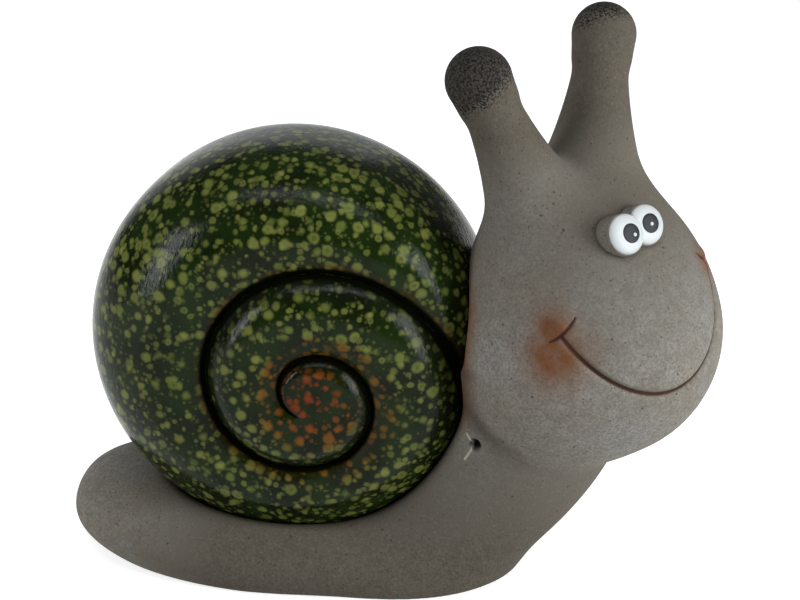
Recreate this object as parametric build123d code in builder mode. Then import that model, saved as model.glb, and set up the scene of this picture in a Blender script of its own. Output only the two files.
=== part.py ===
from build123d import *
from math import copysign, cos, pi, radians, sin, sqrt
import os

# A hollow-cast garden snail: clay foot, head and feelers, a glazed shell, and eyes of coloured slip.
# Millimetres. +X is the way the snail crawls, +Y its left, +Z up, and the sole lies on Z = 0.

# Castings and the seams between them
WALL = 6.0
SEAM = 0.15
DRAIN_DIAMETER = 14.0

# Foot, a flattened egg laid along X
FOOT_TAIL = 103.0
FOOT_FRONT = 71.0
FOOT_WIDEST_X = -8.0
FOOT_HALF_WIDTH = 50.6
FOOT_HALF_HEIGHT = 25.0
FOOT_FULLNESS = 0.75
FOOT_AXIS_HEIGHT = 8.5
TAIL_LIFT = 7.8
FOOT_STEPS = 8
FOOT_FIRST = 0.018

# Neck: ovals at the sole, the chest, the throat and the top, which ends inside the head
NECK_ROOT_X = 30.0
NECK_ROOT_LENGTH = 40.0
NECK_ROOT_WIDTH = 43.0
CHEST_X = 52.0
CHEST_HEIGHT = 25.0
CHEST_LENGTH = 42.5
CHEST_WIDTH = 39.5
THROAT_X = 70.5
THROAT_HEIGHT = 50.0
THROAT_LENGTH = 39.0
THROAT_WIDTH = 39.5
NECK_TOP_X = 80.0
NECK_TOP_HEIGHT = 90.0
NECK_TOP_LENGTH = 38.0
NECK_TOP_WIDTH = 33.0
PINHOLE_DIAMETER = 3.5
PINHOLE_X = 61.0
PINHOLE_HEIGHT = 63.0

# Shell, a full bun with a spiral furrow in each side; a fullness of 2 would make it a plain oval
RIM_X = -13.7
RIM_HEIGHT = 91.0
RIM_RADIUS = 76.8
SHELL_HALF_WIDTH = 52.0
SHELL_FULLNESS = 2.77
BUN_STEPS = 10
BUN_FIRST = 0.02
SPIRAL_X = 1.0
SPIRAL_HEIGHT = 81.2
SPIRAL_PITCH = 33.3
SPIRAL_EYE = 10.0
SPIRAL_DRAW = 3.6
FURROW_START_TURN = 0.1
FURROW_END_TURN = 1.70
FURROW_START_WIDTH = 7.0
FURROW_WIDTH = 22.0
FURROW_STEEPNESS = 0.75
FURROW_LIP = 0.15
FURROW_STEPS = 12

# Head, an egg that leans back and aside and turns to the snail's right
HEAD_X = 100.0
HEAD_Y = -7.0
HEAD_HEIGHT = 100.0
HEAD_TURN = 38.0
HEAD_TILT = 13.0
HEAD_ROLL = 5.7
HEAD_RADIUS = 48.0
HEAD_BELOW = 48.0
HEAD_ABOVE = 64.0
HEAD_TAPER = 1.1
HEAD_STEPS = 7
HEAD_FIRST = 0.06
HEAD_LAST = 0.97

# Smile, a furrow round the front of the head
MOUTH_TURN = -12.5
MOUTH_HEIGHT = -19.8
MOUTH_RISE = 32.2
MOUTH_SPREAD = 45.5
MOUTH_FURROW = 2.4
MOUTH_STEPS = 10

# Feelers
FEELER_SPLAY = 21.5
FEELER_LEAN = -3.2
FEELER_ROOT_OFFSET = 5.7
FEELER_ROOT_HEIGHT = 33.5
FEELER_LENGTH = 74.8
FEELER_FLARE = 30.0
FEELER_SHOULDER = 17.0
FEELER_SHOULDER_DROP = 41.0
FEELER_WAIST = 10.3
FEELER_WAIST_DROP = 12.0
FEELER_BALL = 12.3
FEELER_JOINT_DROP = 25.0
SPIGOT_DIAMETER = 10.0
SPIGOT_LENGTH = 8.0

# Eyes
EYE_TURN = -11.0
EYE_HEIGHT = 39.0
EYE_DIAMETER = 15.5
EYE_SPACING = 10.2
EYE_PLATE = 3.0
EYE_ROOT = 4.0
EYE_RIM = 0.4
EYE_CROWN = 1.6
PUPIL_DIAMETER = 7.6
PUPIL_OFFSET = 1.9
GLINT_DIAMETER = 1.7
GLINT_OFFSET = 1.2
PAINT = 0.35

os.makedirs("parts", exist_ok=True)


def head_direction(forward, left, up):
    """A direction given along the face, to the face's left and up the leaning head."""
    tilt = radians(HEAD_TILT)
    turn = radians(HEAD_TURN)
    roll = radians(HEAD_ROLL)
    aside = left * cos(roll) - up * sin(roll)
    crown = left * sin(roll) + up * cos(roll)
    level = forward * cos(tilt) - crown * sin(tilt)
    rise = forward * sin(tilt) + crown * cos(tilt)
    return Vector(level * cos(turn) + aside * sin(turn), aside * cos(turn) - level * sin(turn), rise)


HEAD_CENTRE = Vector(HEAD_X, HEAD_Y, HEAD_HEIGHT)
FACE = head_direction(1, 0, 0)
LEFT = head_direction(0, 1, 0)
CROWN = head_direction(0, 0, 1)


def head_reach(height, inset=0):
    """The head's radius at a height above its widest ring."""
    reach = HEAD_BELOW if height < 0 else HEAD_ABOVE
    taper = 1 if height < 0 else HEAD_TAPER
    return (HEAD_RADIUS - inset) * sqrt(1 - (height / (reach - inset)) ** 2) ** taper


def on_head(angle, height):
    """A point on the head's skin, at an angle from the face towards its left."""
    reach = head_reach(height)
    turn = radians(angle)
    return HEAD_CENTRE + FACE * (reach * cos(turn)) + LEFT * (reach * sin(turn)) + CROWN * height


def head_form(inset):
    with BuildPart() as form:
        rings = []
        for step in range(HEAD_STEPS + 1):
            angle = pi * (HEAD_FIRST + (HEAD_LAST - HEAD_FIRST) * step / HEAD_STEPS)
            height = -cos(angle) * ((HEAD_BELOW if angle < pi / 2 else HEAD_ABOVE) - inset)
            with BuildSketch(Plane(HEAD_CENTRE + CROWN * height, x_dir=LEFT, z_dir=CROWN)) as ring:
                Circle(head_reach(height, inset))
            rings.append(ring.sketch)
        loft(rings)
    return form.part


def feeler_axis(side):
    root = HEAD_CENTRE + LEFT * (side * FEELER_ROOT_OFFSET) + CROWN * FEELER_ROOT_HEIGHT
    splay = radians(FEELER_SPLAY)
    lean = radians(FEELER_LEAN)
    return Axis(root, head_direction(-sin(lean), side * sin(splay), cos(splay)))


def feeler_form(side, low, high):
    """The feeler's round form between two distances along its axis."""
    axis = feeler_axis(side)
    tip = FEELER_LENGTH + FEELER_BALL
    across = axis.direction.cross(FACE).normalized()
    with BuildPart() as form:
        with BuildSketch(Plane(axis.position, x_dir=across, z_dir=across.cross(axis.direction))):
            with BuildLine():
                Line((0, 0), (FEELER_FLARE, 0))
                Spline(
                    (FEELER_FLARE, 0),
                    (FEELER_SHOULDER, FEELER_LENGTH - FEELER_SHOULDER_DROP),
                    (FEELER_WAIST, FEELER_LENGTH - FEELER_WAIST_DROP),
                    (FEELER_BALL, FEELER_LENGTH),
                    (0, tip),
                    tangents=[(-0.4, 1), (-1, 0)],
                )
                Line((0, tip), (0, 0))
            make_face()
            with Locations((0, low)):
                Rectangle(2 * FEELER_FLARE, high - low, align=(Align.CENTER, Align.MIN), mode=Mode.INTERSECT)
        revolve(axis=axis)
    return form.part


def spigot_form(side, joint, clearance):
    """The feeler's round spigot, which runs down from its joint with the head."""
    axis = feeler_axis(side)
    with BuildPart() as form:
        with BuildSketch(Plane(axis.position + axis.direction * joint, z_dir=-axis.direction)):
            Circle(SPIGOT_DIAMETER / 2 + clearance)
        extrude(amount=SPIGOT_LENGTH + clearance)
    return form.part


def foot_section(share):
    """The foot's oval across X, at a share of the way from tail to front."""
    angle = pi * share
    reach = FOOT_WIDEST_X + FOOT_TAIL if share < 0.5 else FOOT_FRONT - FOOT_WIDEST_X
    x = FOOT_WIDEST_X - reach * cos(angle)
    height = FOOT_AXIS_HEIGHT + TAIL_LIFT * max(0, cos(angle))
    swell = sin(angle) ** FOOT_FULLNESS
    with BuildSketch(Plane((x, 0, height), x_dir=(0, 1, 0), z_dir=(1, 0, 0))) as section:
        Ellipse(FOOT_HALF_WIDTH * swell, FOOT_HALF_HEIGHT * swell)
    return section.sketch


def foot_form():
    with BuildPart() as form:
        span = 1 - 2 * FOOT_FIRST
        loft([foot_section(FOOT_FIRST + span * step / FOOT_STEPS) for step in range(FOOT_STEPS + 1)])
    return form.part


def neck_form(inset):
    with BuildPart() as form:
        with BuildSketch(Plane((NECK_ROOT_X, 0, 0))):
            Ellipse(NECK_ROOT_LENGTH - inset, NECK_ROOT_WIDTH - inset)
        with BuildSketch(Plane((CHEST_X, 0, CHEST_HEIGHT))):
            Ellipse(CHEST_LENGTH - inset, CHEST_WIDTH - inset)
        with BuildSketch(Plane((THROAT_X, 0, THROAT_HEIGHT))):
            Ellipse(THROAT_LENGTH - inset, THROAT_WIDTH - inset)
        with BuildSketch(Plane((NECK_TOP_X, HEAD_Y, NECK_TOP_HEIGHT))):
            Ellipse(NECK_TOP_LENGTH - inset, NECK_TOP_WIDTH - inset)
        loft()
    return form.part


def bun_form(inset, depth):
    """The shell without its furrows, drawn in by one amount at the rim and another at the sides."""
    with BuildPart() as form:
        rings = []
        for step in range(BUN_STEPS + 1):
            angle = pi * (BUN_FIRST + (1 - 2 * BUN_FIRST) * step / BUN_STEPS)
            aside = copysign(abs(cos(angle)) ** (2 / SHELL_FULLNESS), cos(angle))
            side = (SHELL_HALF_WIDTH - depth) * aside
            with BuildSketch(Plane((RIM_X, side, RIM_HEIGHT), x_dir=(0, 0, 1), z_dir=(0, -1, 0))) as ring:
                Circle((RIM_RADIUS - inset) * sin(angle) ** (2 / SHELL_FULLNESS))
            rings.append(ring.sketch)
        loft(rings)
    return form.part


def furrow_section(turn):
    """The furrow's V between two whorls, square to the spiral on the shell's right side."""
    angle = -pi / 2 - 2 * pi * turn
    reach = sqrt((SPIRAL_PITCH * turn) ** 2 + SPIRAL_EYE**2) - SPIRAL_DRAW
    out = Vector(cos(angle), 0, sin(angle))
    foot = Vector(SPIRAL_X, 0, SPIRAL_HEIGHT) + out * reach
    across_rim = (foot - Vector(RIM_X, 0, RIM_HEIGHT)) / RIM_RADIUS
    aside = (1 - across_rim.length**SHELL_FULLNESS) ** (1 / SHELL_FULLNESS)
    point = Vector(foot.X, -SHELL_HALF_WIDTH * aside, foot.Z)
    outward = across_rim * (across_rim.length ** (SHELL_FULLNESS - 2) / RIM_RADIUS)
    skin = (outward - Vector(0, aside ** (SHELL_FULLNESS - 1) / SHELL_HALF_WIDTH, 0)).normalized()
    along = out.cross(skin).normalized()
    share = (turn - FURROW_START_TURN) / (FURROW_END_TURN - FURROW_START_TURN)
    half = (FURROW_START_WIDTH + (FURROW_WIDTH - FURROW_START_WIDTH) * share) / 2
    depth = half * FURROW_STEEPNESS
    lip = half * FURROW_LIP
    top = lip + WALL
    with BuildSketch(Plane(point, x_dir=skin.cross(along), z_dir=along)) as section:
        with BuildLine():
            Polyline((0, -depth), (half, lip), (half, top), (-half, top), (-half, lip), close=True)
        make_face()
    return section.sketch


def mouth_point(angle):
    """A point of the smile, at an angle from the middle of the face."""
    lift = (1 - cos(radians(angle))) / (1 - cos(radians(MOUTH_SPREAD)))
    return on_head(MOUTH_TURN + angle, MOUTH_HEIGHT + MOUTH_RISE * lift)


EYE_UP = on_head(EYE_TURN, EYE_HEIGHT + 1) - on_head(EYE_TURN, EYE_HEIGHT - 1)
EYE_LEFT = on_head(EYE_TURN + 1, EYE_HEIGHT) - on_head(EYE_TURN - 1, EYE_HEIGHT)
EYE_PLANE = Plane(on_head(EYE_TURN, EYE_HEIGHT), x_dir=EYE_LEFT, z_dir=EYE_LEFT.cross(EYE_UP))
EYE_FRONT = EYE_PLANE.offset(EYE_PLATE)
CAP_RADIUS = EYE_DIAMETER / 2 - EYE_RIM
EYE_SPHERE = (CAP_RADIUS**2 + EYE_CROWN**2) / (2 * EYE_CROWN)


def boss_form(clearance):
    """The two joined discs that carry the eyes, from their root in the head to their front."""
    with BuildPart() as form:
        with BuildSketch(EYE_PLANE.offset(-EYE_ROOT - clearance)):
            with GridLocations(EYE_SPACING, 1, 2, 1):
                Circle(EYE_DIAMETER / 2 + clearance)
        extrude(amount=EYE_ROOT + EYE_PLATE + clearance)
    return form.part


def eye_sphere(side, layer):
    """The sphere that one eye's front is cut from, grown by a layer of paint."""
    centre = EYE_FRONT.from_local_coords((side * EYE_SPACING / 2, 0, EYE_CROWN - EYE_SPHERE))
    with BuildPart() as form:
        with Locations(Plane(centre, x_dir=-EYE_PLANE.z_dir, z_dir=EYE_PLANE.x_dir)):
            Sphere(EYE_SPHERE + layer)
    return form.part


def paint_disc(side, offset, diameter):
    """A round rod square to the eye, for a painted disc."""
    with BuildPart() as form:
        with BuildSketch(EYE_FRONT):
            with Locations((side * EYE_SPACING / 2 + offset, 0)):
                Circle(diameter / 2)
        extrude(amount=EYE_SPHERE)
    return form.part


# Shell
with BuildPart() as furrow:
    span = FURROW_END_TURN - FURROW_START_TURN
    loft([furrow_section(FURROW_START_TURN + span * step / FURROW_STEPS) for step in range(FURROW_STEPS + 1)])

bun = bun_form(0, 0)
bun_hollow = bun_form(WALL, WALL + FURROW_STEEPNESS * FURROW_WIDTH / 2)
left_furrow = mirror(furrow.part, about=Plane.XZ)

with BuildPart() as shell:
    add(bun)
    add(furrow.part, mode=Mode.SUBTRACT)
    add(left_furrow, mode=Mode.SUBTRACT)
    add(bun_hollow, mode=Mode.SUBTRACT)
    with BuildSketch(Plane((RIM_X, 0, 0))):
        Circle(DRAIN_DIAMETER / 2)
    extrude(amount=RIM_HEIGHT, mode=Mode.SUBTRACT)
shell.part.label = "shell"
export_step(shell.part, "parts/shell.step")

# Body, with a saddle for the shell and a hollow chest
foot = foot_form()
neck = neck_form(0)
neck_hollow = neck_form(WALL)
shell_room = bun_form(-SEAM, -SEAM)
shell_guard = bun_form(-WALL, -WALL)

with BuildPart() as chest_hollow:
    add(neck_hollow)
    split(bisect_by=Plane.XY.offset(WALL), keep=Keep.TOP)
    add(shell_guard, mode=Mode.SUBTRACT)

with BuildPart() as body:
    add(foot)
    add(neck)
    split(bisect_by=Plane.XY, keep=Keep.TOP)
    add(shell_room, mode=Mode.SUBTRACT)
    add(chest_hollow.part, mode=Mode.SUBTRACT)
    with BuildSketch():
        with Locations((RIM_X, 0), (CHEST_X, 0)):
            Circle(DRAIN_DIAMETER / 2)
    extrude(amount=CHEST_HEIGHT, mode=Mode.SUBTRACT)
    with BuildSketch(Plane((PINHOLE_X, 0, PINHOLE_HEIGHT), x_dir=(1, 0, 0), z_dir=(0, -1, 0))):
        Circle(PINHOLE_DIAMETER / 2)
    extrude(amount=CHEST_WIDTH, mode=Mode.SUBTRACT)
body.part.label = "body"
export_step(body.part, "parts/body.step")

# Head, with the roots of both feelers, sockets for their spigots and a pocket for the eyes
with BuildPart() as smile:
    with BuildLine() as lips:
        Spline([mouth_point(MOUTH_SPREAD * (2 * step / MOUTH_STEPS - 1)) for step in range(MOUTH_STEPS + 1)])
    with BuildSketch(Plane(lips.line @ 0, z_dir=lips.line % 0)):
        Circle(MOUTH_FURROW / 2)
    sweep(path=lips.line)

egg = head_form(0)
egg_hollow = head_form(WALL)
neck_room = neck_form(-SEAM)
joint = FEELER_LENGTH - FEELER_JOINT_DROP
left_root = feeler_form(1, 0, joint)
right_root = feeler_form(-1, 0, joint)
left_socket = spigot_form(1, joint, SEAM)
right_socket = spigot_form(-1, joint, SEAM)
eye_pocket = boss_form(SEAM)

with BuildPart() as head_hollow:
    add(egg_hollow)
    add(shell_guard, mode=Mode.SUBTRACT)

with BuildPart() as head:
    add(egg)
    add(left_root)
    add(right_root)
    add(shell_room, mode=Mode.SUBTRACT)
    add(neck_room, mode=Mode.SUBTRACT)
    add(head_hollow.part, mode=Mode.SUBTRACT)
    add(left_socket, mode=Mode.SUBTRACT)
    add(right_socket, mode=Mode.SUBTRACT)
    add(eye_pocket, mode=Mode.SUBTRACT)
    add(smile.part, mode=Mode.SUBTRACT)
head.part.label = "head"
export_step(head.part, "parts/head.step")

# Feelers
for side, name in ((1, "left_feeler"), (-1, "right_feeler")):
    stalk = feeler_form(side, joint, FEELER_LENGTH + FEELER_BALL)
    spigot = spigot_form(side, joint, 0)
    with BuildPart() as feeler:
        add(stalk)
        add(spigot)
    feeler.part.label = name
    export_step(feeler.part, f"parts/{name}.step")

# Eyes
eye_discs = boss_form(0)
right_rim = paint_disc(-1, 0, 2 * (CAP_RADIUS + SEAM))

with BuildPart() as eye_boss:
    add(eye_discs)
eye_boss.part.label = "eye_boss"
export_step(eye_boss.part, "parts/eye_boss.step")

for side, name in ((1, "left"), (-1, "right")):
    ball = eye_sphere(side, 0)
    pupil_ball = eye_sphere(side, PAINT)
    glint_ball = eye_sphere(side, 2 * PAINT)
    pupil_disc = paint_disc(side, PUPIL_OFFSET, PUPIL_DIAMETER)
    glint_disc = paint_disc(side, PUPIL_OFFSET + GLINT_OFFSET, GLINT_DIAMETER)

    with BuildPart() as eye:
        add(ball)
        split(bisect_by=EYE_FRONT, keep=Keep.TOP)
        if side == 1:
            add(right_rim, mode=Mode.SUBTRACT)
    eye.part.label = f"{name}_eye"
    export_step(eye.part, f"parts/{name}_eye.step")

    with BuildPart() as pupil:
        add(pupil_disc)
        add(pupil_ball, mode=Mode.INTERSECT)
        add(ball, mode=Mode.SUBTRACT)
    pupil.part.label = f"{name}_pupil"
    export_step(pupil.part, f"parts/{name}_pupil.step")

    with BuildPart() as glint:
        add(glint_disc)
        add(glint_ball, mode=Mode.INTERSECT)
        add(pupil_ball, mode=Mode.SUBTRACT)
    glint.part.label = f"{name}_glint"
    export_step(glint.part, f"parts/{name}_glint.step")
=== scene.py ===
from math import cos, pi, radians, sin

import bmesh
import bpy
import numpy as np
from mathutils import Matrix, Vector


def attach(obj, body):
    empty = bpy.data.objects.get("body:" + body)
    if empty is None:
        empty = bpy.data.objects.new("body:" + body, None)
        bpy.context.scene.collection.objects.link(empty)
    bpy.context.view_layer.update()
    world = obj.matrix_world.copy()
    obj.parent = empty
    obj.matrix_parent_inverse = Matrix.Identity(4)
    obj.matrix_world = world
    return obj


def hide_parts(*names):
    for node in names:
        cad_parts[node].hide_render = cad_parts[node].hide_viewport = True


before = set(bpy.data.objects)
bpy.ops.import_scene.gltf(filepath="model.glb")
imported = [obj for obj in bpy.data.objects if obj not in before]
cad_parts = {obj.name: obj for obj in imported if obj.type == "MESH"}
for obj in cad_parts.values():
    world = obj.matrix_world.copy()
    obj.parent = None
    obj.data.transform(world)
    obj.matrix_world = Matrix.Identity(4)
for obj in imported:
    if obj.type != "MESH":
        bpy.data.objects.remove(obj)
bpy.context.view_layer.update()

# Sizes are in millimetres in the row's frame, and go to Blender's metres in new_piece.
MM = 0.001

# Foot and neck
FOOT_TAIL = 102.4
FOOT_FRONT = 71.0
FOOT_WIDEST_X = -24.0
FOOT_HALF_WIDTH = 50.2
FOOT_HALF_HEIGHT = 24.7
FOOT_FULLNESS = 0.75
FOOT_AXIS_HEIGHT = 8.5
TAIL_LIFT = 7.8
NECK_HEIGHTS = (0.0, 25.0, 50.0, 90.0)
NECK_X = (30.0, 52.0, 70.5, 80.0)
NECK_Y = (0.0, 0.0, 0.0, -7.0)
NECK_HALF_LENGTHS = (39.6, 42.2, 39.2, 38.7)
NECK_HALF_WIDTHS = (39.6, 39.0, 39.6, 35.0)

# Shell
RIM_X = -13.7
RIM_HEIGHT = 91.0
RIM_RADIUS = 76.6
SHELL_HALF_WIDTH = 51.8
SHELL_FULLNESS = 2.77
SPIRAL_X = 1.0
SPIRAL_HEIGHT = 81.2
SPIRAL_PITCH = 33.3
SPIRAL_EYE = 10.0
SPIRAL_DRAW = 3.6
SPIRAL_FLARE_TURN = 1.75
SPIRAL_FLARE = 115.0
APEX_TURN = -1.6
LAST_TURN = 1.9
FURROW_END = 1.86
FURROW_SHARE = 0.48
FURROW_DEPTH = 8.0
FURROW_BLACK = 2.1
FURROW_HAIR = 0.04
SHELL_GAP = 0.5

# Head
HEAD_CENTRE = np.array([100.0, -7.0, 100.0])
HEAD_TURN = 38.0
HEAD_TILT = 13.0
HEAD_ROLL = 5.7
HEAD_RADIUS = 47.7
HEAD_BELOW = 48.0
HEAD_ABOVE = 63.5
HEAD_FULLNESS = 0.55
JOWL_RADIUS = 40.2
JOWL_BACK = 5.0
JOWL_ASIDE = 12.0
JOWL_BELOW = 8.0

# Feelers: the right one, with side -1, stands a little apart and is slimmer
FEELER_SPLAY = {-1: 17.9, 1: 21.5}
FEELER_LEAN = -3.2
FEELER_ROOT_OFFSET = {-1: 10.0, 1: 5.7}
FEELER_ROOT_HEIGHT = 33.5
FEELER_LENGTH = {-1: 72.6, 1: 74.4}
FEELER_BALL = 11.9
FEELER_WAIST = 10.0
FEELER_WAIST_DROP = 12.0
FEELER_FLARE = {-1: 0.08, 1: 0.12}
FEELER_JOINT_DROP = 25.0

# Smile
MOUTH_TURN = -16.0
MOUTH_HEIGHT = -18.1
MOUTH_RISE = 73.8
MOUTH_SWEEP = 104.7
MOUTH_SLANT = -6.9
MOUTH_RIGHT_END = -57.5
MOUTH_LEFT_END = 34.5
MOUTH_DEPTH = 1.5
MOUTH_HALF_WIDTH = 1.25
FOLD_DEPTH = 0.9
FOLD_HALF_WIDTH = 1.0
FOLD_START = (-63.5, 10.6)
FOLD_MIDDLE = (-56.0, 12.2)
FOLD_END = (-50.5, 17.5)
FOLD_LEFT_RISE = 6.0
FOLD_RIDGE = 1.3

# Middles of the blush, as angles and heights on the head
BLUSH_ABOVE = (-61.0, 14.5)
BLUSH_BELOW = (-62.5, 5.5)

# Pinhole in the neck, with a hairline crack beside it
PINHOLE_X = 61.0
PINHOLE_HEIGHT = 63.0
PINHOLE_RADIUS = 1.7
PINHOLE_DEPTH = 5.0
CRACK = ((57.6, 66.1), (59.9, 63.3), (59.6, 60.7), (57.2, 56.7))

# Black on the feelers' tips, below the ball's middle
RIGHT_TIP_EDGE = -5.0
LEFT_TIP_EDGE = 6.0
TIP_EDGE_LEAN = 0.35
TIP_ZERO = 60.0

# Eyes: white buttons on clay bosses, steeper than the brow under them
EYE_FACING = np.array([0.598, -0.698, 0.394])
RIGHT_EYE = np.array([112.6, -37.2, 146.9])
LEFT_EYE = np.array([118.9, -29.8, 148.4])
EYE_RADIUS = 7.1
EYE_RISE = 2.0
BOSS_RADIUS = 7.5
BOSS_DEPTH = 11.0
PUPIL_RADIUS = 3.5
PUPIL_RISE = 0.25
GLINT_RADIUS = 0.66
GLINT_RISE = 0.15
RIGHT_GAZE = (1.1, 0.0)
LEFT_GAZE = (0.9, 0.2)
RIGHT_GLINT = (2.35, -0.7)
LEFT_GLINT = (1.2, -0.1)

# How far neighbouring forms run into each other
FOOT_BLEND = 14.0
CHIN_BLEND = 5.0
JOWL_BLEND = 4.0
FEELER_BLEND = 9.0
FORK_BLEND = 4.0
EDGE_ROUND = 3.0

# Colours as they look on a screen
CLAY_GREY = (146, 143, 138)
CLAY_WARM = (138, 130, 118)
# Darker clay towards the feelers' tops and the foot, and painted shade on the brow and crown
CLAY_SHADE = (75, 67, 55)
CLAY_DARK = (96, 89, 80)
CLAY_PALE = (178, 175, 168)
PIT_BROWN = (52, 46, 40)
BLUSH_ORANGE = (110, 66, 35)
# Painted shade in the creases: at the head's seam, beside the shell and round the eye bosses
CREASE_SHADE = (62, 50, 38)
MOUTH_BROWN = (62, 38, 26)
# Painted shadow inside the pinhole
HOLE_SHADOW = (16, 15, 13)
CRACK_PALE = (205, 196, 180)
TIP_BLACK = (14, 14, 13)
GLAZE_BLACK = (14, 22, 4)
GLAZE_GREEN = (24, 38, 9)
SPOT_GREEN = (100, 111, 50)
SPOT_YELLOW = (124, 126, 64)
SPOT_MIDDLE = (44, 58, 14)
SPOT_ORANGE = (116, 78, 18)
SPOT_RED = (134, 50, 14)
LIP_BROWN = (66, 44, 18)
# Black of the furrow, and painted shade beside it on the inner whorl
FURROW_AND_SHADE_COLOUR = (7, 9, 4)
EYE_WHITE = (192, 195, 196)
EYE_BLACK = (28, 30, 33)

# Spots in the glaze: spacing, least and greatest radius, soft edge, and strength
SPOT_LAYERS = (
    (2.2, 0.4, 0.9, 0.6, 0.4),
    (3.3, 1.0, 1.8, 1.2, 0.85),
    (5.2, 1.9, 3.0, 1.8, 0.95),
)

CELL = 1.1

# Light
FLOOR_GLOW = 0.72
SKY_LOW = 0.1
SKY_HIGH = 0.2
WINDOW_TINT = (0.93, 0.98, 1.0)

# Camera: the image is 800 x 600
CAMERA_TURN = 10.0
CAMERA_RISE = 20.0
CAMERA_DISTANCE = 750.0
CAMERA_TARGET = np.array([26.8, 0.0, 104.0])
CAMERA_LENS = 89.4


def head_direction(forward, left, up):
    """A direction given along the face, to the face's left and up the leaning head."""
    tilt, turn, roll = radians(HEAD_TILT), radians(HEAD_TURN), radians(HEAD_ROLL)
    aside = left * cos(roll) - up * sin(roll)
    crown = left * sin(roll) + up * cos(roll)
    level = forward * cos(tilt) - crown * sin(tilt)
    rise = forward * sin(tilt) + crown * cos(tilt)
    return np.array([level * cos(turn) + aside * sin(turn), aside * cos(turn) - level * sin(turn), rise])


FACE = head_direction(1, 0, 0)
LEFT = head_direction(0, 1, 0)
CROWN = head_direction(0, 0, 1)


def feeler_axis(side):
    """Root and direction of one feeler."""
    splay, lean = radians(FEELER_SPLAY[side]), radians(FEELER_LEAN)
    along = head_direction(-sin(lean), side * sin(splay), cos(splay))
    root = HEAD_CENTRE + LEFT * (side * FEELER_ROOT_OFFSET[side]) + CROWN * FEELER_ROOT_HEIGHT
    return root, along / np.linalg.norm(along)


def on_head(angle, height):
    """A point on the head's skin, at an angle from the face towards its left."""
    reach = HEAD_BELOW if height < 0 else HEAD_ABOVE
    fullness = 0.5 if height < 0 else HEAD_FULLNESS
    radius = HEAD_RADIUS * (1 - (height / reach) ** 2) ** fullness
    turn = radians(angle)
    return HEAD_CENTRE + FACE * (radius * cos(turn)) + LEFT * (radius * sin(turn)) + CROWN * height


# Forms: each gives a rough distance from its surface, negative inside

def smooth_min(a, b, blend):
    h = np.maximum(blend - np.abs(a - b), 0) / blend
    return np.minimum(a, b) - h * h * blend / 4


def smooth_max(a, b, blend):
    return -smooth_min(-a, -b, blend)


def by_slope(value, cell):
    """Turns an implicit value on a grid into a distance."""
    slope = np.sqrt(sum(g * g for g in np.gradient(value, cell)))
    return value / np.maximum(slope, 1e-3)


def foot_form(x, y, z, cell):
    reach = np.where(x < FOOT_WIDEST_X, FOOT_WIDEST_X + FOOT_TAIL, FOOT_FRONT - FOOT_WIDEST_X)
    along = (x - FOOT_WIDEST_X) / reach
    height = FOOT_AXIS_HEIGHT + TAIL_LIFT * np.maximum(0, -along)
    across = (y / FOOT_HALF_WIDTH) ** 2 + ((z - height) / FOOT_HALF_HEIGHT) ** 2
    return by_slope(across ** (1 / FOOT_FULLNESS) + along**2 - 1, cell)


def neck_form(x, y, z, cell):
    lift = np.clip(z, NECK_HEIGHTS[0], NECK_HEIGHTS[-1])
    centre_x, centre_y, length, width = (
        np.polyval(np.polyfit(NECK_HEIGHTS, values, 3), lift)
        for values in (NECK_X, NECK_Y, NECK_HALF_LENGTHS, NECK_HALF_WIDTHS)
    )
    value = ((x - centre_x) / length) ** 2 + ((y - centre_y) / width) ** 2 - 1
    return np.maximum(by_slope(value, cell), z - NECK_HEIGHTS[-1])


def egg_form(x, y, z):
    forward, left, up = (
        (x - HEAD_CENTRE[0]) * d[0] + (y - HEAD_CENTRE[1]) * d[1] + (z - HEAD_CENTRE[2]) * d[2]
        for d in (FACE, LEFT, CROWN)
    )
    power = np.where(up < 0, 2.0, 1 / HEAD_FULLNESS)
    reach = np.where(up < 0, HEAD_BELOW, HEAD_ABOVE)
    radial = np.hypot(forward, left) / HEAD_RADIUS
    value = radial**power + (up / reach) ** 2 - 1
    slope = np.hypot(power * radial ** (power - 1) / HEAD_RADIUS, 2 * up / reach**2)
    return value / np.maximum(slope, 0.004)


def jowl_form(x, y, z, side):
    """One of the head's full lower cheeks."""
    centre = HEAD_CENTRE - FACE * JOWL_BACK + LEFT * (side * JOWL_ASIDE) - CROWN * JOWL_BELOW
    return np.sqrt((x - centre[0]) ** 2 + (y - centre[1]) ** 2 + (z - centre[2]) ** 2) - JOWL_RADIUS


def feeler_form(x, y, z, side):
    root, along = feeler_axis(side)
    dx, dy, dz = x - root[0], y - root[1], z - root[2]
    share = dx * along[0] + dy * along[1] + dz * along[2]
    radial = np.sqrt(np.maximum(dx * dx + dy * dy + dz * dz - share * share, 0))
    drop = np.maximum(FEELER_LENGTH[side] - FEELER_WAIST_DROP - share, 0)
    past = np.maximum(share - FEELER_LENGTH[side] + FEELER_WAIST_DROP, 0)
    stalk = radial - (FEELER_WAIST + FEELER_FLARE[side] * drop + 0.0032 * drop**2 - 0.06 * past**2)
    stalk = np.maximum(stalk, 8 - share)
    ball = np.hypot(radial, share - FEELER_LENGTH[side]) - FEELER_BALL
    return smooth_min(stalk, ball, 8.0)


def shell_form(x, y, z):
    full = SHELL_FULLNESS
    across = np.hypot(x - RIM_X, z - RIM_HEIGHT) / RIM_RADIUS
    aside = np.abs(y) / SHELL_HALF_WIDTH
    value = (across**full + aside**full) ** (1 / full)
    slope = np.hypot(across ** (full - 1) / RIM_RADIUS, aside ** (full - 1) / SHELL_HALF_WIDTH)
    return (value - 1) * value ** (full - 1) / np.maximum(slope, 1e-3)


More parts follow.
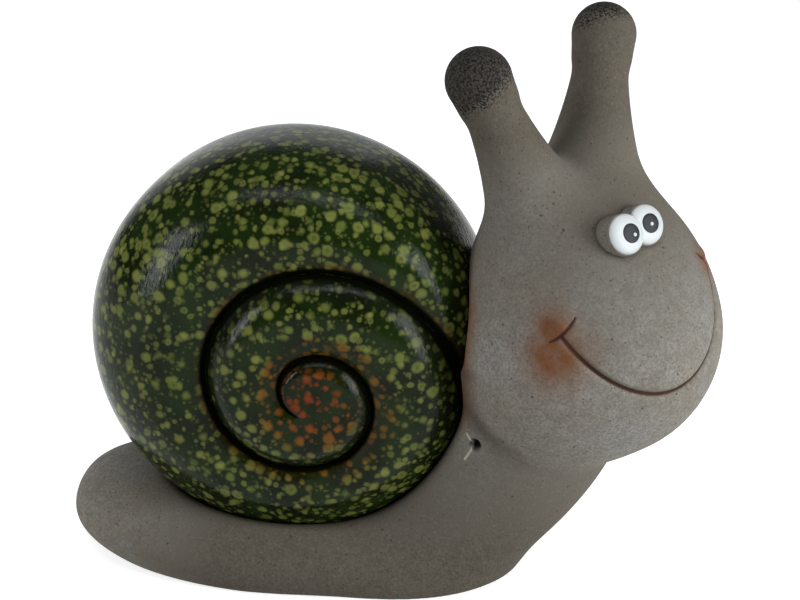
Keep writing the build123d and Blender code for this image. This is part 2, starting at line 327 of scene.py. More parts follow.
def surface_net(value, low, cell):
    """Points and quads of the surface where a grid of values is 0."""
    inside = value < 0
    corner = [(i, j, k) for i in (0, 1) for j in (0, 1) for k in (0, 1)]
    shape = np.array(value.shape) - 1
    window = [tuple(slice(c, c + n) for c, n in zip(at, shape)) for at in corner]
    count = sum(inside[w].astype(np.int8) for w in window)
    cells = np.argwhere((count > 0) & (count < 8))
    index = np.full(shape, -1)
    index[tuple(cells.T)] = np.arange(len(cells))
    total, hits = np.zeros((len(cells), 3)), np.zeros(len(cells))
    for a, first in enumerate(corner):
        for second in corner[a + 1 :]:
            if sum(abs(p - q) for p, q in zip(first, second)) != 1:
                continue
            start, end = (value[tuple((cells + at).T)] for at in (first, second))
            cut = (start < 0) != (end < 0)
            share = np.where(cut, start / np.where(cut, start - end, 1), 0)[:, None]
            total += cut[:, None] * (np.array(first) + share * (np.array(second) - first))
            hits += cut
    points = low + cell * (cells + total / hits[:, None])
    quads = []
    for axis in range(3):
        one, two = (axis + 1) % 3, (axis + 2) % 3
        step = [np.eye(3, dtype=int)[k] for k in (one, two)]
        ahead = np.moveaxis(inside, axis, 0)
        crossing = np.argwhere(np.moveaxis(ahead[1:] != ahead[:-1], 0, axis))
        crossing = crossing[(crossing[:, one] > 0) & (crossing[:, two] > 0)]
        ring = [index[tuple((crossing - d).T)] for d in (step[0] * 0, step[0], step[0] + step[1], step[1])]
        quad = np.stack(ring, 1)
        outward = inside[tuple(crossing.T)]
        quads.append(np.where(outward[:, None], quad, quad[:, ::-1]))
    return points, np.concatenate(quads)


def new_piece(name, points, faces, attributes=None, normals=None):
    """A smooth mesh object from points in millimetres."""
    mesh = bpy.data.meshes.new(name)
    mesh.from_pydata((np.asarray(points) * MM).tolist(), [], faces)
    for label, values in (attributes or {}).items():
        layer = mesh.attributes.new(label, "FLOAT", "POINT")
        layer.data.foreach_set("value", np.asarray(values, np.float32))
    mesh.polygons.foreach_set("use_smooth", [True] * len(mesh.polygons))
    if normals is not None:
        mesh.normals_split_custom_set_from_vertices(np.asarray(normals).tolist())
    mesh.update()
    piece = bpy.data.objects.new(name, mesh)
    bpy.context.scene.collection.objects.link(piece)
    return piece


def dress(piece, node, material):
    """Puts a piece in the place of its CAD node."""
    piece.data.materials.clear()
    piece.data.materials.append(material)
    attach(piece, "root")
    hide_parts(node)


# Clay skin

def clay_field(low, high, cell):
    """The foot with the neck, the head with its feelers, and all of them as one skin."""
    x, y, z = np.meshgrid(*(np.arange(a, b, cell) for a, b in zip(low, high)), indexing="ij")
    body = smooth_min(foot_form(x, y, z, cell), neck_form(x, y, z, cell), FOOT_BLEND)
    feelers = smooth_min(feeler_form(x, y, z, -1), feeler_form(x, y, z, 1), FORK_BLEND)
    jowls = np.minimum(jowl_form(x, y, z, -1), jowl_form(x, y, z, 1))
    head = smooth_min(egg_form(x, y, z), jowls, JOWL_BLEND)
    head = smooth_min(head, feelers, FEELER_BLEND)
    skin = smooth_min(body, head, CHIN_BLEND)
    skin = smooth_max(skin, SHELL_GAP - shell_form(x, y, z), EDGE_ROUND)
    return smooth_max(skin, -z, EDGE_ROUND / 2), head - body


def sampled(grid, points, low, cell):
    """A grid's values at points, between its corners in proportion."""
    place = (points - low) / cell
    base = np.clip(place.astype(int), 0, np.array(grid.shape) - 2)
    share = place - base
    total = 0
    for corner in np.ndindex(2, 2, 2):
        weight = np.prod(np.where(corner, share, 1 - share), axis=1)
        total = total + weight * grid[tuple((base + corner).T)]
    return total


def vertex_normals(points, quads):
    across = np.cross(points[quads[:, 2]] - points[quads[:, 0]], points[quads[:, 3]] - points[quads[:, 1]])
    total = np.zeros_like(points)
    for k in range(4):
        np.add.at(total, quads[:, k], across)
    return total / np.maximum(np.linalg.norm(total, axis=1, keepdims=True), 1e-9)


clay_low = np.array([-110.0, -62.0, -4.0])
clay_high = np.array([156.0, 58.0, 224.0])
skin, head_side = clay_field(clay_low, clay_high, CELL)
points, quads = surface_net(skin, clay_low, CELL)
slope = np.gradient(skin, CELL)
for _ in range(3):
    uphill = np.stack([sampled(g, points, clay_low, CELL) for g in slope], 1)
    steep = np.maximum((uphill**2).sum(1), 0.25)
    points = points - uphill * (sampled(skin, points, clay_low, CELL) / steep)[:, None]
points[:, 2] = np.maximum(points[:, 2], 0)
normals = vertex_normals(points, quads)


# Relief on the clay

def mouth_line(count):
    """Points along the smile, from the face's right corner to its left one."""
    angles = np.linspace(MOUTH_RIGHT_END, MOUTH_LEFT_END, count)
    turn = np.radians(angles - MOUTH_TURN)
    curl = 1 - np.cos(turn)
    heights = MOUTH_HEIGHT + MOUTH_RISE * curl + MOUTH_SWEEP * curl**2 + MOUTH_SLANT * np.sin(turn)
    return np.array([on_head(a, h) for a, h in zip(angles, heights)])


def fold_line(side, count):
    """Points along the fold that crosses one corner of the smile."""
    ends = [np.array(p) for p in (FOLD_START, FOLD_MIDDLE, FOLD_END)]
    line = []
    for t in np.linspace(0, 1, count):
        angle, height = ends[0] * (1 - t) ** 2 + ends[1] * 2 * t * (1 - t) + ends[2] * t * t
        if side == 1:
            angle, height = MOUTH_RIGHT_END + MOUTH_LEFT_END - angle, height + FOLD_LEFT_RISE
        line.append(on_head(angle, height))
    return np.array(line)


def away(at, line):
    """Distance of each point from a line of points, and the share along it."""
    near = np.full(len(at), 1e9)
    share = np.zeros(len(at))
    for k in range(len(line) - 1):
        step = line[k + 1] - line[k]
        t = np.clip((at - line[k]) @ step / (step @ step), 0, 1)
        gap = np.linalg.norm(at - line[k] - t[:, None] * step, axis=1)
        closer = gap < near
        near[closer] = gap[closer]
        share[closer] = ((k + t) / (len(line) - 1))[closer]
    return near, share


SMILE = mouth_line(61)
FOLDS = [fold_line(side, 15) for side in (-1, 1)]


def groove(gap, half_width, depth):
    return -depth * np.exp(-((gap / half_width) ** 2))


def from_pinhole(at):
    """Distance from the pinhole's axis, which runs into the neck's right side."""
    gap = np.hypot(at[:, 0] - PINHOLE_X, at[:, 2] - PINHOLE_HEIGHT)
    return np.where(at[:, 1] < 0, gap, 1e3)


def from_crack(at):
    """Distance from the hairline crack, seen from the snail's right."""
    flat = at * np.array([1, 0, 1])
    line = np.array([(x, 0, z) for x, z in CRACK])
    return np.where(at[:, 1] < 0, away(flat, line)[0], 1e3)


def relief(at):
    """How far the clay stands out of its plain form, and how near it is to the smile and its folds."""
    smile, share = away(at, SMILE)
    taper = np.clip(12 * np.minimum(share, 1 - share), 0.55, 1)
    height = groove(smile, MOUTH_HALF_WIDTH, MOUTH_DEPTH * taper)
    fold = np.full(len(at), 1e9)
    for line in FOLDS:
        gap, share = away(at, line)
        fold = np.minimum(fold, gap / np.maximum(4 * share * (1 - share), 0.2) ** 0.5)
        above = line[7] + CROWN * 2.6 - FACE * 1.2
        height += FOLD_RIDGE * np.exp(-((np.linalg.norm(at - above, axis=1) / 4.0) ** 2))
    height += groove(fold, FOLD_HALF_WIDTH, FOLD_DEPTH)
    height -= PINHOLE_DEPTH / (1 + np.exp((from_pinhole(at) - PINHOLE_RADIUS) / 0.18))
    return height, smile, fold


def refined(points, normals, quads, chosen, cuts):
    """Splits the chosen quads into finer ones, which share their corners."""
    corners, shades = points[quads[chosen]], normals[quads[chosen]]
    u, v = np.meshgrid(np.linspace(0, 1, cuts + 1), np.linspace(0, 1, cuts + 1), indexing="ij")
    weight = np.stack([(1 - u) * (1 - v), u * (1 - v), u * v, (1 - u) * v], -1).reshape(-1, 4)
    fine = np.einsum("gk,qkd->qgd", weight, corners).reshape(-1, 3)
    shade = np.einsum("gk,qkd->qgd", weight, shades).reshape(-1, 3)
    cell = np.arange((cuts + 1) ** 2).reshape(cuts + 1, cuts + 1)
    cell = np.stack([cell[:-1, :-1], cell[1:, :-1], cell[1:, 1:], cell[:-1, 1:]], -1).reshape(-1, 4)
    small = (np.arange(chosen.sum())[:, None, None] * (cuts + 1) ** 2 + cell).reshape(-1, 4)
    everything = np.concatenate([points, fine])
    faces = np.concatenate([quads[~chosen], small + len(points)])
    _, first, same = np.unique(np.round(everything / 2e-3).astype(np.int64), axis=0, return_index=True, return_inverse=True)
    shades = np.concatenate([normals, shade])[first]
    return everything[first], shades / np.linalg.norm(shades, axis=1, keepdims=True), same.ravel()[faces]


def near_relief(points, quads, margin):
    """The quads within a margin of something in the relief."""
    middle = points[quads].mean(1)
    chosen = np.zeros(len(quads), bool)
    for line in (SMILE, *FOLDS):
        inside = ((middle > line.min(0) - margin) & (middle < line.max(0) + margin)).all(1)
        chosen[np.flatnonzero(inside)[away(middle[inside], line)[0] < margin]] = True
    return chosen | (from_pinhole(middle) < 2 * margin)


points, normals, quads = refined(points, normals, quads, near_relief(points, quads, 5.0), 3)
height, smile, fold = relief(points)
side = np.cross(normals, np.where(np.abs(normals[:, 2:]) < 0.9, [[0, 0, 1.0]], [[1.0, 0, 0]]))
side /= np.linalg.norm(side, axis=1, keepdims=True)
lean = [(relief(points + 0.05 * d)[0] - height)[:, None] / 0.05 * d for d in (side, np.cross(normals, side))]
points = points + normals * height[:, None]
normals = normals - lean[0] - lean[1]
normals /= np.linalg.norm(normals, axis=1, keepdims=True)

middle = points[quads].mean(1)
owner = np.where(sampled(head_side, middle, clay_low, CELL) < 0, 1, 0)
for label, side in ((2, -1), (3, 1)):
    root, along = feeler_axis(side)
    share = (middle - root) @ along
    radial = np.linalg.norm(middle - root - share[:, None] * along, axis=1)
    owner[(share > FEELER_LENGTH[side] - FEELER_JOINT_DROP) & (radial < 2 * FEELER_BALL)] = label


# Where the clay is coloured, and where shade is painted on it

def near_to(at, centre, reach):
    return np.exp(-((np.linalg.norm(at - centre, axis=1) / reach) ** 2))


def tip_share(at):
    """How far a point lies above the edge of the black on its feeler, in millimetres."""
    share = np.full(len(at), -50.0)
    for side, edge in ((-1, RIGHT_TIP_EDGE), (1, LEFT_TIP_EDGE)):
        root, along = feeler_axis(side)
        lean = along - TIP_EDGE_LEAN * np.array([1, 0, 0])
        height = (at - root - along * FEELER_LENGTH[side]) @ lean - edge
        radial = np.linalg.norm(np.cross(at - root, along), axis=1)
        share = np.where((radial < 2 * FEELER_BALL) & (height > -40), np.maximum(share, height), share)
    return share


def boss_shadow_line(at):
    """Painted shadow: the dark line where the eyes' bosses leave the brow."""
    gap = np.full(len(at), 1e3)
    for centre in (RIGHT_EYE, LEFT_EYE):
        off = at - centre
        deep = off @ EYE_FACING
        radial = np.linalg.norm(off - deep[:, None] * EYE_FACING, axis=1) - BOSS_RADIUS
        gap = np.minimum(gap, np.where(np.abs(deep) < BOSS_DEPTH, radial, 1e3))
    return 0.8 * np.exp(-((np.maximum(gap, 0) / 0.9) ** 2))


shell_gap = shell_form(*points.T)
seam = np.exp(-((sampled(head_side, points, clay_low, CELL) / 3.0) ** 2))
behind = np.clip((86 - points[:, 0]) / 24, 0, 1)
beside = np.exp(-((shell_gap / 7.0) ** 2)) * np.clip((points[:, 2] - 62) / 14, 0, 1)
beside *= np.clip((128 - points[:, 2]) / 14, 0, 1)
blush = near_to(points, on_head(*BLUSH_BELOW), 10.5)
blush = np.maximum(blush, 0.95 * near_to(points, on_head(*BLUSH_ABOVE), 7.5))
blush = np.maximum(blush, 0.9 * near_to(points, FOLDS[1][7], 5.5))
blush = np.minimum(1.25 * np.maximum(blush, 0.85 * beside), 1)
# Darker towards the feelers' tops and the bottom of the foot and neck; the brow and crown darker as painted shade
stalk = np.clip((points[:, 2] - 138) / 40, 0, 1)
below_head = np.clip(sampled(head_side, points, clay_low, CELL) / 6 + 0.5, 0, 1)
sole = np.clip((95 - points[:, 2]) / 75, 0, 1) * below_head * np.clip((points[:, 0] + 95) / 60, 0, 1)
up_head, to_face = (points - HEAD_CENTRE) @ CROWN, (points - HEAD_CENTRE) @ FACE
brow = 0.3 * np.clip((up_head + 10) / 18, 0, 1) * np.clip((to_face - 8) / 25, 0, 1)
brow += 0.45 * np.clip((up_head - 8) / 40, 0, 1)
shade = np.maximum(np.maximum(0.95 * stalk, sole), brow)
clay_attributes = {
    "tip": tip_share(points) + TIP_ZERO,
    "shade": shade,
    "blush": blush,
    "line": np.maximum(np.exp(-((smile / 0.85) ** 2)), 0.9 * np.exp(-((fold / 0.7) ** 2))),
    # Painted shade at the head's seam behind, beside the shell and round the eye bosses
    "crease_shade": np.maximum(np.maximum(seam * behind, 0.8 * np.exp(-((shell_gap / 2.0) ** 2))), boss_shadow_line(points)),
    "hole": np.exp(-((from_pinhole(points) / (PINHOLE_RADIUS + 0.3)) ** 4)),
    "crack": np.exp(-((from_crack(points) / 0.32) ** 2)),
}


# Shell skin

def rim_distance(angle):
    """How far the rim lies from the spiral's middle, at an angle."""
    ox, oz = SPIRAL_X - RIM_X, SPIRAL_HEIGHT - RIM_HEIGHT
    b = ox * np.cos(angle) + oz * np.sin(angle)
    return -b + np.sqrt(b * b - (ox * ox + oz * oz - RIM_RADIUS**2))


def spiral_reach(turn):
    """The furrow's distance from the spiral's middle; past the shell's edge it runs off quickly."""
    reach = np.sqrt((SPIRAL_PITCH * np.maximum(turn, 0)) ** 2 + SPIRAL_EYE**2) - SPIRAL_DRAW
    return reach * 2 ** np.minimum(turn, 0) + SPIRAL_FLARE * np.maximum(turn - SPIRAL_FLARE_TURN, 0) ** 2


def shell_side(columns, rows):
    """The right side of the shell as a strip wound along its spiral furrow."""
    turn = APEX_TURN + (LAST_TURN - APEX_TURN) * np.arange(columns + 1) / columns
    turn = turn[:, None]
    angle = -pi / 2 - 2 * pi * turn
    rim = rim_distance(angle)
    share = 0.5 - 0.5 * np.cos(pi * np.arange(rows + 1) / rows)[None, :]
    inner = np.minimum(spiral_reach(turn), rim)
    outer = np.minimum(spiral_reach(turn + 1), rim)
    at_rim = outer >= rim - 1e-9
    radius = inner + (outer - inner) * share
    x = SPIRAL_X + radius * np.cos(angle)
    z = SPIRAL_HEIGHT + radius * np.sin(angle)
    off_x, off_z = (x - RIM_X) / RIM_RADIUS, (z - RIM_HEIGHT) / RIM_RADIUS
    across = np.minimum(np.hypot(off_x, off_z), 1)
    aside = (1 - across**SHELL_FULLNESS) ** (1 / SHELL_FULLNESS)
    outward = across ** (SHELL_FULLNESS - 2) / RIM_RADIUS
    skin = np.stack([off_x * outward, -(aside ** (SHELL_FULLNESS - 1)) / SHELL_HALF_WIDTH, off_z * outward], -1)
    skin /= np.linalg.norm(skin, axis=-1, keepdims=True)

    def sunk(distance, width, at_turn):
        """How deep the skin lies at a distance from the furrow: a whorl is round across."""
        start = np.clip((at_turn - 0.02) / 0.15, 0, 1)
        depth = FURROW_DEPTH * (0.25 + 0.75 * np.clip(at_turn / 1.2, 0, 1)) * start
        depth = depth * np.clip((FURROW_END - at_turn) / 0.35, 0, 1)
        q = np.clip(1 - distance / np.maximum(width, 1e-6), 0, 1)
        return depth * (0.8 * q * q + 0.2 * (1 - np.sqrt(1 - q * q)))

    to_inner = radius - inner
    to_outer = np.where(at_rim, 1e3, outer - radius)
    width = FURROW_SHARE * np.where(at_rim, np.maximum(outer - inner, 26), outer - inner)
    depth = np.maximum(sunk(to_inner, width, turn + 0 * radius), sunk(to_outer, width, turn + 1 + 0 * radius))
    place = np.stack([x, -SHELL_HALF_WIDTH * aside, z], -1) - skin * depth[..., None]

    def black(at_turn):
        """How far the black of the furrow reaches: from a point near the apex to its end by the neck."""
        ends = np.clip((at_turn - 0.04) / 0.12, 0.01, 1) * np.clip((FURROW_END - at_turn) / 0.06, 0.01, 1)
        return FURROW_BLACK * (0.45 + 0.55 * np.clip(at_turn / 1.2, 0, 1)) * ends

    from_inner, from_outer = to_inner + FURROW_HAIR, np.minimum(to_outer, 60) + FURROW_HAIR
    return place, from_inner / black(turn), from_outer / black(turn + 1), turn + share


turn_columns, rows = ((300, 44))
columns = round((LAST_TURN - APEX_TURN) * turn_columns)
place, outside, inside, whorl = shell_side(columns, rows)
number = np.arange((columns + 1) * (rows + 1)).reshape(columns + 1, rows + 1)
strip = np.stack([number[:-1, :-1], number[:-1, 1:], number[1:, 1:], number[1:, :-1]], -1).reshape(-1, 4)
apex = np.concatenate([number[: turn_columns + 1, 0], number[0, rows - 1 : 0 : -1]])
fan = np.stack([0 * apex + number.size, apex, np.roll(apex, -1)], -1)
right_points = np.concatenate([place.reshape(-1, 3), [place[: turn_columns + 1, 0].mean(0)]])
left_points = right_points * np.array([1, -1, 1])
shell_points = np.concatenate([right_points, left_points])
one_side = [*strip.tolist(), *fan.tolist()]
shell_faces = [face[::-1] for face in one_side] + [[v + len(right_points) for v in face] for face in one_side]
shell_attributes = {
    "outside": np.tile(np.append(outside.ravel(), 9.0), 2),
    "inside": np.tile(np.append(inside.ravel(), 9.0), 2),
    "whorl": np.tile(np.append(whorl.ravel(), APEX_TURN), 2),
}

# Materials

def linear(red, green, blue):
    """A colour given as it looks on a screen, 0 to 255."""
    return [((c / 255 + 0.055) / 1.055) ** 2.4 if c > 10 else c / 255 / 12.92 for c in (red, green, blue)] + [1]


def add(tree, kind, inputs, **settings):
    """A shader node with its settings made and its inputs set or linked."""
    made = tree.nodes.new("ShaderNode" + kind)
    for label, value in settings.items():
        setattr(made, label, value)
    for label, value in inputs.items():
        if isinstance(value, bpy.types.NodeSocket):
            tree.links.new(value, made.inputs[label])
        else:
            made.inputs[label].default_value = value
    return made


def attribute(tree, name):
    return add(tree, "Attribute", {}, attribute_name=name).outputs["Fac"]


def fade(tree, value, start, end):
    """0 at the start and 1 at the end, smooth between."""
    inputs = {"Value": value, "From Min": start, "From Max": end}
    return add(tree, "MapRange", inputs, interpolation_type="SMOOTHSTEP").outputs["Result"]


def calc(tree, operation, one, two):
    return add(tree, "Math", {0: one, 1: two}, operation=operation).outputs[0]


def blend(tree, share, one, two):
    """One colour where the share is 0, the other where it is 1."""
    return add(tree, "Mix", {0: share, 6: one, 7: two}, data_type="RGBA").outputs[2]


def in_millimetres(tree, stretch=(1, 1, 1)):
    place = add(tree, "TexCoord", {}).outputs["Object"]
    scale = [1000 * k for k in stretch]
    return add(tree, "VectorMath", {0: place, 1: scale}, operation="MULTIPLY").outputs[0]


def noise(tree, place, size, detail=3.0, roughness=0.5):
    inputs = {"Vector": place, "Scale": 1 / size, "Detail": detail, "Roughness": roughness}
    return add(tree, "TexNoise", inputs).outputs["Fac"]


def cells(tree, place, size):
    """Distance from the nearest of many scattered points in millimetres, and three chances for that point."""
    made = add(tree, "TexVoronoi", {"Vector": place, "Scale": 1 / size})
    chance = add(tree, "SeparateColor", {0: made.outputs["Color"]}).outputs
    return calc(tree, "MULTIPLY", made.outputs["Distance"], size), chance


def spots(tree, place, size, least, most, soft):
    """Round spots of a radius between two bounds: their cover, and how near each is to its middle."""
    gap, chance = cells(tree, place, size)
    radius = calc(tree, "MULTIPLY_ADD", chance[0], most - least)
    radius.node.inputs[2].default_value = least
    cover = fade(tree, gap, radius, calc(tree, "SUBTRACT", radius, soft))
    middle = fade(tree, gap, calc(tree, "MULTIPLY", radius, 0.7), calc(tree, "MULTIPLY", radius, 0.15))
    return cover, calc(tree, "MULTIPLY", middle, chance[1]), chance[2]


def node_material(name, roughness):
    material = bpy.data.materials.new(name)
    material.use_nodes = True
    shader = material.node_tree.nodes["Principled BSDF"]
    shader.inputs["Roughness"].default_value = roughness
    return material, material.node_tree, shader


def bump(tree, shader, height, strength, depth):
    inputs = {"Height": height, "Strength": strength, "Distance": depth * MM}
    tree.links.new(add(tree, "Bump", inputs).outputs[0], shader.inputs["Normal"])


# Clay: grey-beige, mottled, pitted and scratched, with painted shade in its creases, pinhole and crown
clay, tree, shader = node_material("clay", 0.85)
shader.inputs["Specular IOR Level"].default_value = 0.25
place = in_millimetres(tree)
broad = fade(tree, noise(tree, place, 34.0, 3.0), 0.36, 0.66)
mottle = fade(tree, noise(tree, place, 4.5, 6.0, 0.7), 0.36, 0.66)
grain = fade(tree, noise(tree, place, 1.0, 2.0, 0.6), 0.35, 0.65)
colour = blend(tree, broad, linear(*CLAY_WARM), linear(*CLAY_GREY))
# The shade mask: darker feeler tops and foot, and painted shade on the brow and crown
colour = blend(tree, calc(tree, "MULTIPLY", attribute(tree, "shade"), 1.0), colour, linear(*CLAY_SHADE))
colour = blend(tree, calc(tree, "MULTIPLY", mottle, 0.4), colour, linear(*CLAY_DARK))
colour = blend(tree, calc(tree, "MULTIPLY", grain, 0.55), colour, linear(*CLAY_DARK))
pale = fade(tree, noise(tree, place, 1.1, 2.0), 0.55, 0.72)
colour = blend(tree, calc(tree, "MULTIPLY", pale, 0.07), colour, linear(*CLAY_PALE))
pit, _, chance = spots(tree, place, 3.8, 0.25, 0.65, 0.3)
pit = calc(tree, "MULTIPLY", pit, fade(tree, chance, 0.4, 0.5))
fine, _, chance = spots(tree, place, 1.35, 0.15, 0.4, 0.2)
fine = calc(tree, "MULTIPLY", fine, fade(tree, chance, 0.2, 0.35))
marks = calc(tree, "MAXIMUM", calc(tree, "MULTIPLY", pit, 0.75), calc(tree, "MULTIPLY", fine, 0.75))
for stretch in ((1.0, 0.9, 0.13), (0.16, 0.5, 1.0)):
    long_place = in_millimetres(tree, stretch)
    scratch, _, chance = spots(tree, long_place, 5.0, 0.2, 0.42, 0.2)
    scratch = calc(tree, "MULTIPLY", scratch, fade(tree, chance, 0.8, 0.84))
    marks = calc(tree, "MAXIMUM", marks, calc(tree, "MULTIPLY", scratch, 0.7))
colour = blend(tree, marks, colour, linear(*PIT_BROWN))
uneven = calc(tree, "MULTIPLY_ADD", mottle, 0.2)
uneven.node.inputs[2].default_value = 0.8
colour = blend(tree, calc(tree, "MULTIPLY", attribute(tree, "blush"), uneven), colour, linear(*BLUSH_ORANGE))
# Painted shade in the creases
colour = blend(tree, calc(tree, "MULTIPLY", attribute(tree, "crease_shade"), 0.75), colour, linear(*CREASE_SHADE))
colour = blend(tree, fade(tree, attribute(tree, "line"), 0.12, 0.75), colour, linear(*MOUTH_BROWN))
# Painted shadow inside the pinhole
colour = blend(tree, attribute(tree, "hole"), colour, linear(*HOLE_SHADOW))
colour = blend(tree, calc(tree, "MULTIPLY", attribute(tree, "crack"), 0.8), colour, linear(*CRACK_PALE))
stipple = fade(tree, noise(tree, place, 0.75, 2.0, 0.6), 0.4, 0.6)
dab = calc(tree, "MULTIPLY_ADD", stipple, 0.6)
tree.links.new(fade(tree, attribute(tree, "tip"), TIP_ZERO - 7, TIP_ZERO + 6), dab.node.inputs[2])
thick = calc(tree, "MULTIPLY_ADD", stipple, 0.5)
thick.node.inputs[2].default_value = 0.5
dabbed = calc(tree, "MULTIPLY", fade(tree, dab, 0.6, 1.05), thick)
colour = blend(tree, dabbed, colour, linear(*TIP_BLACK))
tree.links.new(colour, shader.inputs["Base Color"])
rough = calc(tree, "SUBTRACT", calc(tree, "MULTIPLY", grain, 0.35), marks)
bump(tree, shader, rough, 0.7, 0.25)

# Glaze: dark green, thick with yellow-green spots, orange round the inner turns of the furrow, with painted shade
# beside the furrow
glaze, tree, shader = node_material("glaze", 0.16)
place = in_millimetres(tree)
shift = add(tree, "TexNoise", {"Vector": place, "Scale": 1 / 3.0, "Detail": 2.0}).outputs["Color"]
shift = add(tree, "VectorMath", {0: shift, 1: (1.3, 1.3, 1.3)}, operation="MULTIPLY").outputs[0]
place = add(tree, "VectorMath", {0: place, 1: shift}, operation="ADD").outputs[0]
outside, inside = attribute(tree, "outside"), attribute(tree, "inside")
from_furrow = calc(tree, "MINIMUM", outside, inside)
whorl_turn = attribute(tree, "whorl")
colour = blend(tree, fade(tree, noise(tree, place, 16.0, 3.0), 0.35, 0.65), linear(*GLAZE_BLACK), linear(*GLAZE_GREEN))
beside = calc(tree, "MULTIPLY", fade(tree, outside, 7.5, 4.5), fade(tree, whorl_turn, 1.3, 1.0))
inner = calc(tree, "MAXIMUM", fade(tree, whorl_turn, 0.75, 0.4), beside)
lip = calc(tree, "MULTIPLY", fade(tree, outside, 0.6, 1.0), fade(tree, outside, 2.3, 1.3))
lip = calc(tree, "MULTIPLY", lip, fade(tree, noise(tree, place, 5.0, 2.0), 0.35, 0.6))
warm = calc(tree, "MAXIMUM", inner, calc(tree, "MULTIPLY", lip, 0.8))
red = fade(tree, whorl_turn, 0.75, -0.3)
tint = blend(tree, red, linear(*SPOT_ORANGE), linear(*SPOT_RED))
for size, least, most, soft, strength in SPOT_LAYERS:
    cover, middle, chance = spots(tree, place, size, least, most, soft)
    green = blend(tree, chance, linear(*SPOT_GREEN), linear(*SPOT_YELLOW))
    spot = blend(tree, warm, green, tint)
    spot = blend(tree, calc(tree, "MULTIPLY", middle, 0.75), spot, linear(*SPOT_MIDDLE))
    colour = blend(tree, calc(tree, "MULTIPLY", cover, strength), colour, spot)
colour = blend(tree, calc(tree, "MULTIPLY", lip, 0.35), colour, linear(*LIP_BROWN))
# Painted shade on the inner whorl's side of the furrow, where the whorl falls away
colour = blend(tree, calc(tree, "MULTIPLY", fade(tree, inside, 5.0, 1.2), 0.6), colour, linear(*FURROW_AND_SHADE_COLOUR))
colour = blend(tree, fade(tree, from_furrow, 1.35, 0.75), colour, linear(*FURROW_AND_SHADE_COLOUR))
gloss = calc(tree, "MULTIPLY", fade(tree, from_furrow, 0.7, 1.6), 0.5)
tree.links.new(gloss, shader.inputs["Specular IOR Level"])
tree.links.new(colour, shader.inputs["Base Color"])
shader.inputs["IOR"].default_value = 1.2
brush = noise(tree, in_millimetres(tree, (1.0, 1.0, 0.45)), 1.6, 3.0, 0.6)
bump(tree, shader, brush, 0.8, 0.2)

# Eyes
white, tree, shader = node_material("eye_white", 0.4)
shader.inputs["Base Color"].default_value = linear(*EYE_WHITE)
black, tree, shader = node_material("eye_black", 0.45)
shader.inputs["Base Color"].default_value = linear(*EYE_BLACK)
shader.inputs["Specular IOR Level"].default_value = 0.2

# Pieces
for label, (name, node) in enumerate(
    (("foot_and_neck", "body"), ("head_skin", "head"), ("right_stalk", "right_feeler"), ("left_stalk", "left_feeler"))
):
    faces = quads[owner == label]
    used, faces = np.unique(faces, return_inverse=True)
    marks = {label: values[used] for label, values in clay_attributes.items()}
    piece = new_piece(name, points[used], faces.reshape(-1, 4).tolist(), marks, normals[used])
    dress(piece, node, clay)

whorls = new_piece("whorls", shell_points, shell_faces, shell_attributes)
soft = bmesh.new()
soft.from_mesh(whorls.data)
bmesh.ops.remove_doubles(soft, verts=soft.verts, dist=0.02 * MM)
bmesh.ops.recalc_face_normals(soft, faces=soft.faces)
soft.to_mesh(whorls.data)
soft.free()
dress(whorls, "shell", glaze)

# Eye pieces
EYE_ACROSS = np.cross([0, 0, 1], EYE_FACING)
EYE_ACROSS /= np.linalg.norm(EYE_ACROSS)
EYE_UP = np.cross(EYE_FACING, EYE_ACROSS)
RINGS, SPOKES = 12, 56


def dome(across, rise):
    """The height of a button with a rounded edge, at a share of its radius."""
    return rise * (1 - np.minimum(across, 1) ** 3) ** (1 / 3)


def button(centre, middle, radius, rise, under, wall):
    """A round button on an eye: its face over what lies under it, and a wall down from its edge."""
    across = np.append(np.sin(0.5 * pi * np.arange(1, RINGS + 1) / RINGS), 1.0)[:, None]
    turn = 2 * pi * np.arange(SPOKES)[None, :] / SPOKES
    u = middle[0] + radius * across * np.cos(turn)
    v = middle[1] + radius * across * np.sin(turn)
    height = under(u, v) + dome(across, rise)
    height[-1] -= wall
    place = centre + u[..., None] * EYE_ACROSS + v[..., None] * EYE_UP + height[..., None] * EYE_FACING
    top = under(*middle) + rise
    top = centre + middle[0] * EYE_ACROSS + middle[1] * EYE_UP + top * EYE_FACING
    number = 1 + np.arange((RINGS + 1) * SPOKES).reshape(RINGS + 1, SPOKES)
    after = np.roll(number, -1, axis=1)
    walls = np.stack([number[:-1], number[1:], after[1:], after[:-1]], -1).reshape(-1, 4)
    fan = [[0, one, two] for one, two in zip(number[0].tolist(), after[0].tolist())]
    return np.concatenate([[top], place.reshape(-1, 3)]), [*walls.tolist(), *fan, number[-1, ::-1].tolist()]


def on_boss(u, v):
    return 0.0 * u


def on_eye(u, v):
    return dome(np.hypot(u, v) / EYE_RADIUS, EYE_RISE)


def on_pupil(u, v):
    return on_eye(u, v) + PUPIL_RISE


right_boss, boss_faces = button(RIGHT_EYE, (0, 0), BOSS_RADIUS, 0.6, on_boss, BOSS_DEPTH)
left_boss = right_boss + LEFT_EYE - RIGHT_EYE
boss_faces = boss_faces + [[v + len(right_boss) for v in face] for face in boss_faces]
boss_points = np.concatenate([right_boss, left_boss])
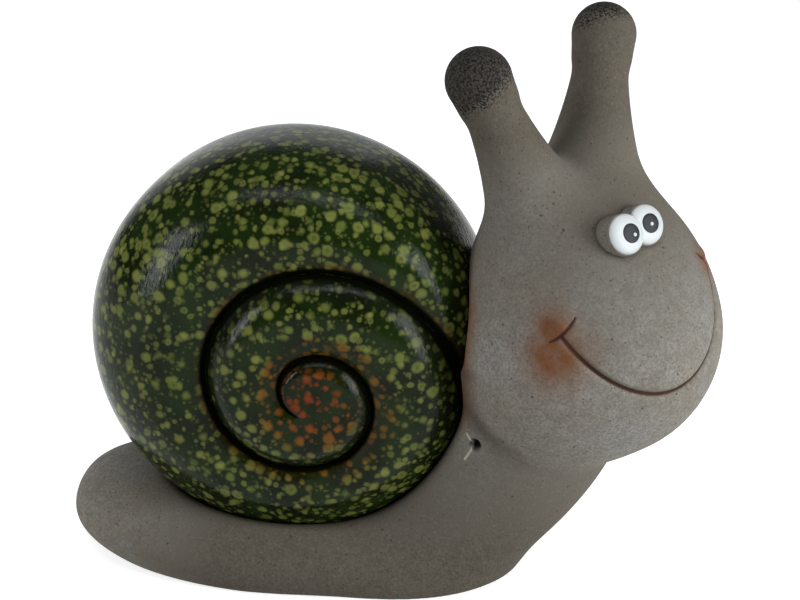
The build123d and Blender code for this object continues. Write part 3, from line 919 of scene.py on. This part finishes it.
# The bosses take a little of the brow's painted shade
boss = new_piece("brow_boss", boss_points, boss_faces, {"shade": np.full(len(boss_points), 0.35)})
dress(boss, "eye_boss", clay)
for name, centre, gaze, glint in (
    ("right", RIGHT_EYE, RIGHT_GAZE, RIGHT_GLINT),
    ("left", LEFT_EYE, LEFT_GAZE, LEFT_GLINT),
):
    for kind, node, middle, radius, rise, under, wall, slot, material in (
        ("white", "eye", (0, 0), EYE_RADIUS, EYE_RISE, on_boss, 0.5, "eye_white", white),
        ("iris", "pupil", gaze, PUPIL_RADIUS, PUPIL_RISE, on_eye, 0.4, "eye_black", black),
        ("spark", "glint", glint, GLINT_RADIUS, GLINT_RISE, on_pupil, 0.3, "eye_white", white),
    ):
        piece = new_piece(f"{name}_{kind}", *button(centre, middle, radius, rise, under, wall))
        dress(piece, f"{name}_{node}", material)

# Stage: a white floor, which keeps the shadow, and soft light
bpy.ops.mesh.primitive_plane_add(size=40.0)
floor = bpy.context.object
floor.name = "floor"
paper, tree, shader = node_material("paper", 0.9)
shader.inputs["Base Color"].default_value = (0.8, 0.8, 0.8, 1)
shader.inputs["Specular IOR Level"].default_value = 0.0
shader.inputs["Emission Color"].default_value = (1, 1, 1, 1)
path = add(tree, "LightPath", {}).outputs
seen = calc(tree, "MAXIMUM", path["Is Camera Ray"], path["Is Glossy Ray"])
seen = calc(tree, "MAXIMUM", seen, path["Is Transmission Ray"])
tree.links.new(calc(tree, "MULTIPLY", seen, FLOOR_GLOW), shader.inputs["Emission Strength"])
floor.data.materials.append(paper)

world = bpy.data.worlds.new("studio")
bpy.context.scene.world = world
world.use_nodes = True
tree = world.node_tree
height = add(tree, "SeparateXYZ", {0: add(tree, "TexCoord", {}).outputs["Generated"]}).outputs["Z"]
sky = blend(tree, fade(tree, height, 0.1, 0.75), (SKY_LOW, SKY_LOW, SKY_LOW, 1), (SKY_HIGH, SKY_HIGH, SKY_HIGH, 1))
tree.links.new(sky, tree.nodes["Background"].inputs["Color"])


def softbox(name, place, aim, width, height, glow):
    """A rectangle of light whose face glows by so much."""
    light = bpy.data.lights.new(name, "AREA")
    light.shape = "RECTANGLE"
    light.color = WINDOW_TINT
    light.size, light.size_y = width * MM, height * MM
    light.energy = glow * pi * light.size * light.size_y
    lamp = bpy.data.objects.new(name, light)
    lamp.location = [v * MM for v in place]
    bpy.context.scene.collection.objects.link(lamp)
    back = Vector(np.subtract(place, aim))
    lamp.rotation_euler = back.to_track_quat("Z", "Y").to_euler()


softbox("right_window", (910, -300, 330), (60, 0, 90), 450, 640, 9.8)
softbox("left_window", (-880, -620, 380), (0, 0, 90), 200, 560, 13.0)
softbox("back_window", (-400, 900, 480), (0, 0, 90), 1200, 700, 0.7)
softbox("ceiling", (70, -420, 1150), (0, 0, 90), 1300, 140, 7.0)

turn, rise = radians(CAMERA_TURN), radians(CAMERA_RISE)
back = np.array([sin(turn) * cos(rise), -cos(turn) * cos(rise), sin(rise)])
lens = bpy.data.cameras.new("camera")
lens.lens = CAMERA_LENS
lens.sensor_width = 36.0
camera = bpy.data.objects.new("camera", lens)
camera.location = (CAMERA_TARGET + back * CAMERA_DISTANCE) * MM
camera.rotation_euler = Vector(back).to_track_quat("Z", "Y").to_euler()
bpy.context.scene.collection.objects.link(camera)
bpy.context.scene.camera = camera
bpy.context.scene.view_settings.view_transform = "Standard"
